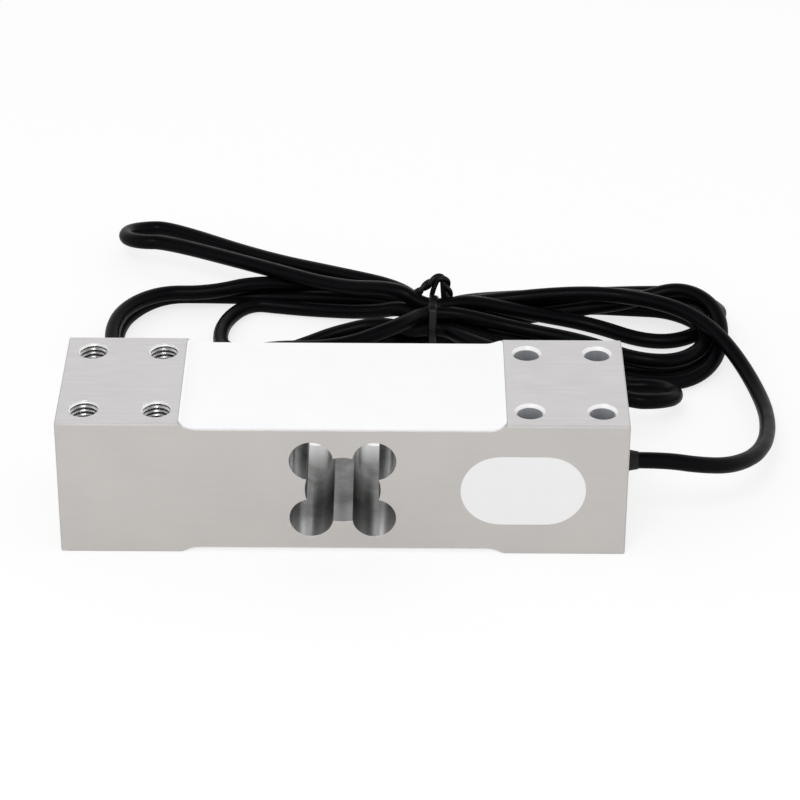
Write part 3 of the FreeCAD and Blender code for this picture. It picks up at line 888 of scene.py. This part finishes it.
@dataclass(frozen=True)
class Settling:
    """Presses a line's strands apart where they would lie in each other; millimetres."""

    diameter: float
    slack: float = 0.1
    samples: int = 4
    rounds: int = 120
    press: float = 1.6
    hold: Point = (0.04, 0.04, 0.012)
    least_bend: float = 7.5
    ease: float = 0.2
    lift: float = 0.25
    own_stretch: float = 3.0

    def weights(self, count: int) -> np.ndarray:
        """How much each control point counts at each sample of the smooth line.

        Args:
            count: How many control points there are.

        Returns:
            One row of shares for each sample.
        """
        steps = (np.arange(self.samples) + 0.5) / self.samples
        rows = np.zeros(((count - 2) * self.samples, count))
        for index in range(count - 2):
            block = slice(index * self.samples, (index + 1) * self.samples)
            rows[block, index] = 0.5 * (1 - steps) ** 2
            rows[block, index + 1] = 0.5 + steps * (1 - steps)
            rows[block, index + 2] = 0.5 * steps ** 2
        return rows

    def push(self, line: np.ndarray) -> np.ndarray:
        """How far each sample has to go to clear the others and the bench.

        Args:
            line: The samples along the line.

        Returns:
            One move for each sample.
        """
        gap = self.diameter + self.slack
        along = np.concatenate([[0.0], np.cumsum(np.linalg.norm(np.diff(line, axis=0), axis=1))])
        apart = np.sqrt(((line[:, None] - line[None]) ** 2).sum(2))
        close = (apart < gap) & (np.abs(along[:, None] - along[None]) > self.own_stretch * gap)
        first, second = np.nonzero(np.triu(close))
        moves = np.zeros_like(line)
        if len(first):
            between = line[first] - line[second]
            distance = np.linalg.norm(between, axis=1) + 1e-6
            between /= distance[:, None]
            between[:, 2] += np.where(between[:, 2] >= 0, self.lift, -self.lift)
            between /= np.linalg.norm(between, axis=1)[:, None]
            step = (gap - distance)[:, None] * between * 0.5
            hits = np.zeros(len(line))
            np.add.at(moves, first, step)
            np.add.at(moves, second, -step)
            np.add.at(hits, first, 1)
            np.add.at(hits, second, 1)
            moves /= np.sqrt(np.maximum(hits, 1))[:, None]
        below = self.diameter / 2 - line[:, 2]
        moves[:, 2] += np.maximum(below, 0)
        return moves

    def relax(self, points: np.ndarray) -> np.ndarray:
        """How far each point goes to open a bend that is too tight.

        Args:
            points: The control points.

        Returns:
            One move for each point.
        """
        before = points[:-2] - points[1:-1]
        after = points[2:] - points[1:-1]
        long_before = np.linalg.norm(before, axis=1)
        long_after = np.linalg.norm(after, axis=1)
        cosine = np.clip((before * after).sum(1) / long_before / long_after, -1, 1)
        turn = np.maximum(np.pi - np.arccos(cosine), 1e-3)
        radius = 0.5 * np.minimum(long_before, long_after) / np.tan(turn / 2)
        share = np.clip((self.least_bend - radius) / self.least_bend, 0, 1)[:, None]
        moves = np.zeros_like(points)
        moves[1:-1] = self.ease * share * (before + after) / 2
        return moves

    def run(self, points: np.ndarray, free: np.ndarray) -> np.ndarray:
        """Settle the line.

        Args:
            points: The control points as drawn.
            free: Which of them may move.

        Returns:
            The settled control points.
        """
        weights = self.weights(len(points))
        load = weights.sum(0)[:, None]
        start = points.copy()
        for _ in range(self.rounds):
            moves = self.press * (weights.T @ self.push(weights @ points)) / load
            moves += (start - points) * np.array(self.hold) + self.relax(points)
            points = points + np.where(free[:, None], moves, 0.0)
            points[:, 2] = np.where(free, np.maximum(points[:, 2], self.diameter / 2), points[:, 2])
        return points


@dataclass(frozen=True)
class TwistTie:
    """The tie round the hank's middle: a flat band and its twisted ends bent up on top."""

    width: float = 2.4 * MM
    thickness: float = 0.75 * MM
    wrap_radius: float = 2.35 * MM
    around: int = 96
    lean: float = 0.05
    bench_gap: float = 0.02 * MM
    strand_radius: float = 0.80 * MM
    twist_radius: float = 0.55 * MM
    twist_pitch: float = 7.5 * MM
    twist_points: int = 12
    section: tuple[Place, ...] = (
        (-0.5, 0.0), (-0.5, 0.6), (-0.36, 1.0), (0.36, 1.0), (0.5, 0.6), (0.5, 0.0),
    )
    ends: tuple[Point, ...] = (
        (19.6, 94.4, 13.6), (22.0, 94.9, 15.6), (24.6, 95.4, 18.0), (27.4, 95.6, 19.0),
        (28.8, 95.4, 16.6), (29.4, 95.0, 12.2),
    )
    stems: tuple[tuple[Point, ...], ...] = (
        ((24.2, 94.8, 12.4), (24.5, 95.0, 15.4), (26.2, 95.4, 18.6)),
        ((27.8, 94.8, 12.0), (27.6, 95.0, 14.0), (27.4, 95.4, 18.0)),
    )

    def band(self, route: CableRoute) -> Piece:
        """The band, drawn tight over the strands at the tie.

        Args:
            route: The cable's route, which gives the strands' places at the tie.

        Returns:
            The band's object.
        """
        strands = [(y * MM, z * MM) for y, z in route.crossings]
        points = []
        for step in range(self.around):
            angle = math.tau * step / self.around
            out_y, out_z = math.cos(angle), math.sin(angle)
            y, z = max(strands, key=lambda place: place[0] * out_y + place[1] * out_z)
            for across, rise in self.section:
                radius = self.wrap_radius + rise * self.thickness
                shift = self.lean * (y - strands[0][0])
                points.append((route.tie_x * MM + across * self.width + shift, y + out_y * radius,
                               max(z + out_z * radius, self.bench_gap)))
        ring = len(self.section)
        faces = []
        for step in range(self.around):
            here, following = step * ring, (step + 1) % self.around * ring
            for side in range(ring):
                other = (side + 1) % ring
                faces.append((here + side, following + side, following + other, here + other))
        return mesh_piece("tie_band", points, faces)

    def twist(self) -> Piece:
        """The two ends, twisted round each other along a bent line, and the stems beneath them.

        Returns:
            The twist's object.
        """
        guide = spline_piece("tie_guide", [metres(self.ends)], 0.0, 0, self.twist_points)
        line = bpy.data.meshes.new_from_object(guide)
        centre = np.array([vertex.co[:] for vertex in line.vertices])
        bpy.data.objects.remove(guide)
        bpy.data.meshes.remove(line)
        along = np.concatenate([[0.0], np.cumsum(np.linalg.norm(np.diff(centre, axis=0), axis=1))])
        routes = []
        for strand in range(2):
            route = []
            for index, place in enumerate(centre):
                ahead = centre[min(index + 1, len(centre) - 1)]
                heading = Vector(ahead - centre[max(index - 1, 0)])
                heading.normalize()
                side = heading.cross(Vector((0.0, 1.0, 0.0))).normalized()
                upright = side.cross(heading)
                angle = math.tau * along[index] / self.twist_pitch + math.pi * strand
                offset = (side * math.cos(angle) + upright * math.sin(angle)) * self.twist_radius
                route.append(tuple(Vector(place) + offset))
            routes.append(route)
        routes += [metres(stem) for stem in self.stems]
        return spline_piece("tie_twist", routes, self.strand_radius, 3, 3)


@dataclass(frozen=True)
class StrippedEnd:
    """The cable's free end: five wires that fan out on the bench, with tinned tips; millimetres."""

    ring: float = 1.35
    run: float = 9.0
    fan: float = 0.5
    uneven: float = 0.2
    wire_radius: float = 0.6
    tip_radius: float = 0.35
    tip_length: float = 6.0
    wires: tuple[tuple[str, str], ...] = (
        ("red", "core_red"), ("black", "core_black"), ("green", "core_green"),
        ("white", "core_white"), ("shield", "tinned_copper"),
    )

    def build(self, route: CableRoute, dresser: Dresser) -> list[Piece]:
        """Make the wires and their tips.

        Args:
            route: The cable's route.
            dresser: The finishes.

        Returns:
            Every wire and tip.
        """
        end = Vector(route.tail[-1])
        forward = end - Vector(route.tail[-2])
        forward.z = 0.0
        forward.normalize()
        across = Vector((-forward.y, forward.x, 0.0))
        up = Vector((0.0, 0.0, 1.0))
        made = []
        for index, (name, finish) in enumerate(self.wires):
            angle = math.tau * index / len(self.wires) + math.pi / 2
            start = end + (across * math.cos(angle) + up * math.sin(angle)) * self.ring
            spread = self.fan * math.cos(angle)
            heading = forward * math.cos(spread) + across * math.sin(spread)
            straight = start + forward * self.run / 2
            landed = straight + heading * self.run
            landed.z = self.wire_radius
            last = landed + heading * self.run * (1.0 + self.uneven * math.sin(2 * angle))
            heading = (last - landed).normalized()
            reach = heading * self.tip_length
            for bar, places, radius, slot, *nodes in (
                ("stripped", (start - forward, start, straight, landed, last), self.wire_radius,
                 finish, f"end_wire_{name}"),
                ("tip", (last - heading, last, last + reach / 2, last + reach), self.tip_radius,
                 "tinned_copper"),
            ):
                line = [tuple(place * MM) for place in places]
                made.append(spline_piece(f"{bar}_{name}", [line], radius * MM, 4, 8))
                dresser.join(made[-1], slot, *nodes)
        return made


@dataclass(frozen=True)
class Cable:
    """The cable with what is on it."""

    route: CableRoute = CableRoute()
    tie: TwistTie = TwistTie()
    end: StrippedEnd = StrippedEnd()
    length: float = 2.15

    def build(self, dresser: Dresser) -> None:
        """Args:
            dresser: The finishes.
        """
        diameter = self.route.diameter * MM
        sheath = spline_piece("cable_sheath", [self.route.settled()], diameter / 2, 6, 10)
        dresser.join(sheath, "cable_sheath", "cable_lead", "cable_hank")
        band = self.tie.band(self.route)
        dresser.join(band, "tie_black", "cable_tie")
        twist = self.tie.twist()
        dresser.join(twist, "tie_black")
        wires = self.end.build(self.route, dresser)


# ---- threads ----
@dataclass(frozen=True)
class CutThread:
    """The metric coarse thread of one end's four holes, and its countersunk mouth, which carries a
    near-white painted highlight.
    """

    name: str
    mount: str
    depth: float
    pitch: float = 1.25 * MM
    root_radius: float = 3.94 * MM
    crest_radius: float = 3.42 * MM
    rim_depth: float = 0.12 * MM
    mouth_depth: float = 0.66 * MM
    cone_share: float = 0.45
    steps: int = 48
    crest_shares: Place = (0.0, 0.16)
    root_shares: Place = (0.50, 0.66)

    def places(self) -> tuple[list[Place], float, float]:
        """Where the holes are, from the record.

        Returns:
            The hole centres, the face's height and the Z direction into the metal.
        """
        mount = next(entry for entry in frame["record"]["mounts"] if entry["name"] == self.mount)
        x, y, z = mount["pos_m"]
        half_x = mount["dims"]["spacing_x_mm"] * MM / 2
        half_y = mount["dims"]["spacing_y_mm"] * MM / 2
        centres = [(x + i * half_x, y + j * half_y) for i in (-1, 1) for j in (-1, 1)]
        return centres, z, -mount["axis"][2]

    def one(self, centre: Place, face: float, inward: float, first: int) -> tuple:
        """One hole's thread as a closed sleeve.

        Args:
            centre: The hole's X and Y.
            face: The height of the face it opens in.
            inward: The Z direction into the metal.
            first: The number of the sleeve's first vertex.

        Returns:
            Its vertices and faces.
        """
        def at(step: int, radius: float, depth: float) -> Point:
            """A point of the sleeve.

            Args:
                step: Which step round the hole.
                radius: How far from the hole's centre.
                depth: How far into the metal.

            Returns:
                The point.
            """
            angle = math.tau * step / self.steps
            return (centre[0] + radius * math.cos(angle), centre[1] + radius * math.sin(angle),
                    face + inward * depth)

        ridge = [(share, self.crest_radius) for share in self.crest_shares]
        ridge += [(share, self.root_radius) for share in self.root_shares]
        turns = math.ceil(self.depth / self.pitch) + 2
        points = []
        columns = turns * self.steps + 1
        for column in range(columns):
            for share, radius in ridge:
                depth = (column / self.steps + share - 2.0) * self.pitch
                depth = min(max(depth, self.rim_depth), self.depth)
                sunk = (depth - self.rim_depth) / (self.mouth_depth - self.rim_depth)
                mouth = self.root_radius + (self.crest_radius - self.root_radius) * sunk
                wide = max(radius, mouth)
                if depth >= self.depth:
                    wide = self.root_radius
                points.append(at(column, wide, depth))
        count = len(ridge)
        faces = []
        for column in range(columns - 1):
            for side in range(count):
                here = column * count + side
                above = here + 1 if side < count - 1 else (column + self.steps) * count
                if above + count < columns * count:
                    faces.append((here, here + count, above + count, above))
        wall = len(points)
        for end in (self.rim_depth, self.depth):
            points += [at(step, self.root_radius, end) for step in range(self.steps)]
        for step in range(self.steps):
            following = (step + 1) % self.steps
            faces.append((wall + step, wall + following, wall + self.steps + following,
                          wall + self.steps + step))
        return points, [tuple(first + number for number in numbers) for numbers in faces]

    def build(self, dresser: Dresser) -> None:
        """Make the four threads of this end as one piece.

        Args:
            dresser: The finishes.
        """
        centres, face, inward = self.places()
        points, faces = [], []
        for centre in centres:
            more_points, more_faces = self.one(centre, face, inward, len(points))
            points += more_points
            faces += more_faces
        piece = mesh_piece(self.name, points, faces, merge=0.002 * MM)
        dresser.dress(piece, "cut_threads")
        # The countersunk mouth's facets get the near-white painted highlight.
        rims = dresser.add_finish(piece, "beam_rims")
        for facet in piece.data.polygons:
            depth = (facet.center.z - face) * inward
            if depth < self.mouth_depth and abs(facet.normal.z) > self.cone_share:
                facet.material_index = rims
        dresser.join(piece, "beam_aluminium")


THREADS = (CutThread("load_threads", "load_end_holes", 16.0 * MM),
           CutThread("fixed_threads", "fixed_end_holes", 12.0 * MM))


# ---- beam and inner pieces ----
@dataclass(frozen=True)
class Beam:
    """The machined beam's faces, sorted by how each was cut and by the painted highlight and shade
    that some carry.
    """

    bore_reach: float = 4.7 * MM
    cavity_half: float = 14.2 * MM
    cavity_rise: float = 14.8 * MM
    pad_share: float = 0.9
    wall_share: float = 0.35
    rim_share: float = 0.25
    chamfer_share: float = 0.5

    def dress(self, dresser: Dresser) -> None:
        """Give the outer faces, pads, bores, rims, chamfers and cavity their own finish: painted
        highlight on the rims, painted light on the pads, painted shade on the chamfers and deep in
        the bores and cavity.

        Args:
            dresser: The finishes.
        """
        beam = frame["nodes"]["load_beam"]
        low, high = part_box("load_beam")
        middle = (low + high) / 2
        dresser.dress(beam, "beam_aluminium")
        pads, bores, rims, edges, cavity = (dresser.add_finish(beam, "beam_" + part) for part in (
            "pads", "bores", "rims", "edges", "cavity"))
        centres = [centre for thread in THREADS for centre in thread.places()[0]]
        for face in beam.data.polygons:
            place, normal = face.center, face.normal
            offset = place - middle
            near_hole = any(math.hypot(place.x - x, place.y - y) < self.bore_reach
                            for x, y in centres)
            if near_hole and abs(normal.z) < self.pad_share:
                # Countersink faces get the near-white painted highlight; the steeper walls are
                # bores.
                face.material_index = rims if abs(normal.z) > self.rim_share else bores
            elif (abs(offset.x) < self.cavity_half and abs(offset.z) < self.cavity_rise
                  and abs(normal.y) < self.wall_share):
                face.material_index = cavity
            # Faces that point up or down: the lighter copy, painted light.
            elif abs(normal.z) > self.pad_share:
                face.material_index = pads
            # Chamfer faces: the darker copy, painted shade.
            elif sorted(abs(part) for part in normal)[1] > self.chamfer_share:
                face.material_index = edges
        log.info("load_beam: dressed in six finishes")


@dataclass(frozen=True)
class PackedPieces:
    """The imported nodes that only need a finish: single ones, and those on each side and gauge."""

    single: tuple[tuple[str, str], ...] = (
        ("pocket_seal", "pocket_seal_white"), ("terminal_board", "board_green"),
        ("trim_resistors", "resistor_black"), ("cable_bush", "bush_rubber"),
    )
    cores: tuple[str, ...] = ("red", "black", "green", "white")
    sides: tuple[str, ...] = ("top", "bottom")
    ends: tuple[str, ...] = ("load", "fixed")

    def finishes(self) -> dict[str, str]:
        """List the nodes.

        Returns:
            Each node's finish, by its name.
        """
        found = dict(self.single)
        found.update({f"core_{name}": f"core_{name}" for name in self.cores})
        for side in self.sides:
            found[f"{side}_gauge_seal"] = "gauge_seal_white"
            found[f"terminal_strip_{side}"] = "terminal_strip_tan"
            found[f"gauge_links_{side}"] = "copper_ribbon"
            found[f"gauge_wires_{side}"] = "enamelled_wire"
            for end in self.ends:
                found[f"gauge_backing_{side}_{end}"] = "polyimide_amber"
                found[f"gauge_grid_{side}_{end}"] = "gauge_foil"
        return found

    def dress(self, dresser: Dresser) -> None:
        """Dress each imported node.

        Args:
            dresser: The finishes.
        """
        for node, finish in self.finishes().items():
            dresser.dress(frame["nodes"][node], finish)
            log.info("%s: dressed, finish %s", node, finish)


# ---- studio ----
@dataclass(frozen=True)
class Studio:
    """The camera, the pale floor, the even surround and one soft lamp."""

    camera_place: Point = (0.0144754, -0.7097811, 0.4646466)
    camera_turn: Point = (58.76073, -0.30449, 0.14698)
    lens: float = 140.02
    floor_radius: float = 3.0
    floor_sides: int = 96
    floor_colour: Colour = (0.80, 0.80, 0.80)
    floor_glow: float = 0.25
    floor_white: float = 0.75
    surround: float = 0.80
    ceiling: float = 0.30
    ceiling_start: float = 0.58
    ceiling_end: float = 0.90
    lamp_place: Point = (-0.14, -0.52, 0.85)
    lamp_size: float = 0.36
    lamp_power: float = 2.6

    def camera(self) -> None:
        """Set the camera."""
        data = bpy.data.cameras.new("camera")
        data.lens = self.lens
        data.sensor_width = 36.0
        data.clip_start = 0.01
        data.clip_end = 20.0
        made = new_object("camera", data)
        made.location = self.camera_place
        made.rotation_euler = [math.radians(angle) for angle in self.camera_turn]
        bpy.context.scene.camera = made

    def world(self) -> None:
        """A white surround that lights the object evenly; mirrored, it has a dimmer ceiling."""
        world = bpy.data.worlds.new("surround")
        world.use_nodes = True
        bpy.context.scene.world = world
        sheet = NodeSheet(world.node_tree)
        rays = sheet.add("LightPath").outputs
        up = sheet.add("SeparateXYZ", {0: sheet.add("TexCoord").outputs["Generated"]}).outputs["Z"]
        fade = sheet.spread(up, 1.0, self.ceiling, self.ceiling_start, self.ceiling_end)
        lights, mirrored, shows = (
            sheet.add("Background", {"Color": solid(EVEN), "Strength": strength}).outputs[0]
            for strength in (self.surround, fade, 1.0))
        sharp = sheet.maths("MAXIMUM", rays["Is Glossy Ray"], rays["Is Transmission Ray"])
        unseen = sheet.between(sharp, lights, mirrored)
        sheet.add("OutputWorld", {"Surface": sheet.between(rays["Is Camera Ray"], unseen, shows)})

    def floor(self) -> None:
        """A wide pale floor under the object; seen directly it is white but keeps the shadow."""
        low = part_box("load_beam")[0]
        angles = [math.tau * step / self.floor_sides for step in range(self.floor_sides)]
        ring = [(self.floor_radius * math.cos(angle), self.floor_radius * math.sin(angle), low.z)
                for angle in angles]
        floor = mesh_piece("floor", ring, [tuple(range(self.floor_sides))])
        material = bpy.data.materials.new("floor_white")
        material.use_nodes = True
        sheet = NodeSheet(material.node_tree)
        matt, bright = (sheet.add("BsdfDiffuse", {"Color": solid(colour)}).outputs[0]
                        for colour in (self.floor_colour, EVEN))
        white = sheet.add("Emission", {"Color": solid(EVEN), "Strength": 1.0}).outputs[0]
        shown = sheet.between(self.floor_white, bright, white)
        lit = sheet.between(self.floor_glow, matt, white)
        camera_ray = sheet.add("LightPath").outputs["Is Camera Ray"]
        sheet.add("OutputMaterial", {"Surface": sheet.between(camera_ray, lit, shown)})
        floor.data.materials.append(material)

    def lamp(self) -> None:
        """One soft lamp overhead, a little to the left."""
        data = bpy.data.lights.new("softbox", "AREA")
        data.shape = "SQUARE"
        data.size = self.lamp_size
        data.energy = self.lamp_power
        made = new_object("softbox", data)
        made.location = self.lamp_place
        made.rotation_euler = (-Vector(self.lamp_place)).to_track_quat("-Z", "Y").to_euler()

    def build(self) -> None:
        """Set up the studio."""
        self.camera()
        self.world()
        self.floor()
        self.lamp()
        bpy.context.scene.view_settings.view_transform = "Standard"
        log.info("studio: camera, floor, surround and lamp set")


def main() -> None:
    """Build the whole picture."""
    logging.basicConfig(level=logging.INFO, format="%(name)s: %(message)s")
    Studio().build()
    dresser = Dresser()
    Cable().build(dresser)
    Beam().dress(dresser)
    PackedPieces().dress(dresser)
    for thread in THREADS:
        thread.build(dresser)


if __name__ == "__main__":
    main()
